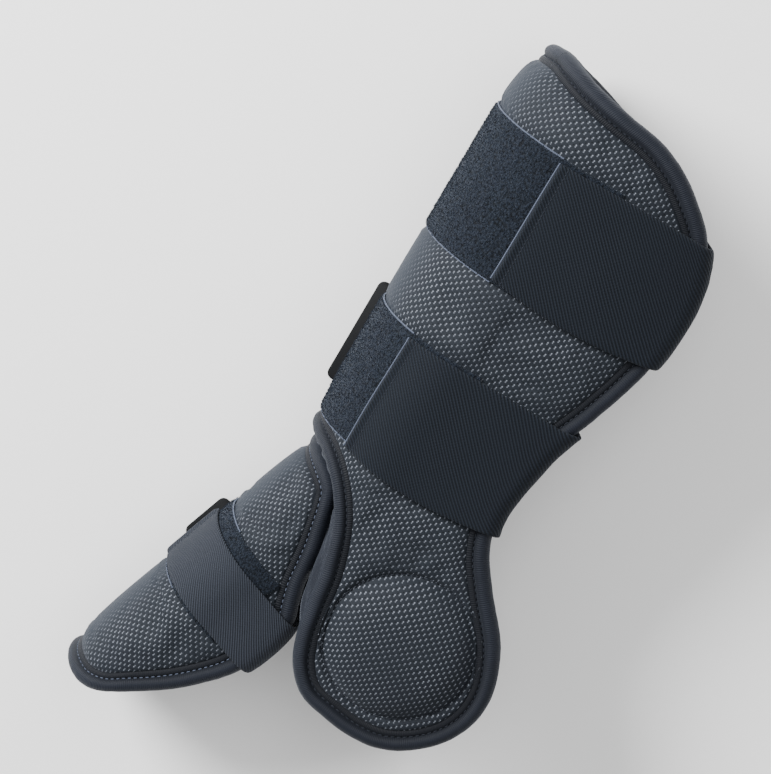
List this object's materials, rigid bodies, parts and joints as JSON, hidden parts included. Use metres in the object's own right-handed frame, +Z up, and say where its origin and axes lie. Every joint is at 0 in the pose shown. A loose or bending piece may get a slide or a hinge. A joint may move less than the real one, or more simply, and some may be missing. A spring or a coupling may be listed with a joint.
{
  "type": "batter's leg guard",
  "caption": "Padded baseball shin, ankle and instep guard with mesh covers, rolled edges, a round ankle cup and wide elastic straps, lying on its far side.",
  "frame": {"origin": "middle of the bounding box in plan, on the floor that the guard lies on", "axes": "+Y runs up the leg towards the knee, +X from the front of the shin to the back of the calf, +Z up from the floor, towards the side with the ankle cup"},
  "size_m": [0.2148, 0.4434, 0.1235],
  "materials": {
    "shin_cover": "charcoal spacer mesh over a padded shell",
    "shin_binding": "smooth stretch-knit rolled edge",
    "ankle_cup": "charcoal spacer mesh over a round cup",
    "upper_loop_panel": "short looped pile",
    "lower_loop_panel": "short looped pile",
    "upper_calf_strap": "ribbed woven elastic",
    "lower_calf_strap": "ribbed woven elastic",
    "upper_strap_tab": "stiff flat hook tab",
    "lower_strap_tab": "stiff flat hook tab",
    "foot_cover": "charcoal spacer mesh over a padded shell",
    "foot_binding": "smooth stretch-knit rolled edge",
    "foot_loop_panel": "short looped pile",
    "foot_strap": "ribbed woven elastic",
    "foot_strap_tab": "stiff flat hook tab",
    "ankle_gusset": "thin stretch fabric"
  },
  "bodies": {
    "root": {"shin_cover": "shin_cover", "shin_binding": "shin_binding", "ankle_cup": "ankle_cup", "upper_loop_panel": "upper_loop_panel", "lower_loop_panel": "lower_loop_panel", "upper_calf_strap": "upper_calf_strap", "lower_calf_strap": "lower_calf_strap", "upper_strap_tab": "upper_strap_tab", "lower_strap_tab": "lower_strap_tab", "foot_cover": "foot_cover", "foot_binding": "foot_binding", "foot_loop_panel": "foot_loop_panel", "foot_strap": "foot_strap", "foot_strap_tab": "foot_strap_tab", "ankle_gusset": "ankle_gusset"}
  },
  "joints": []
}
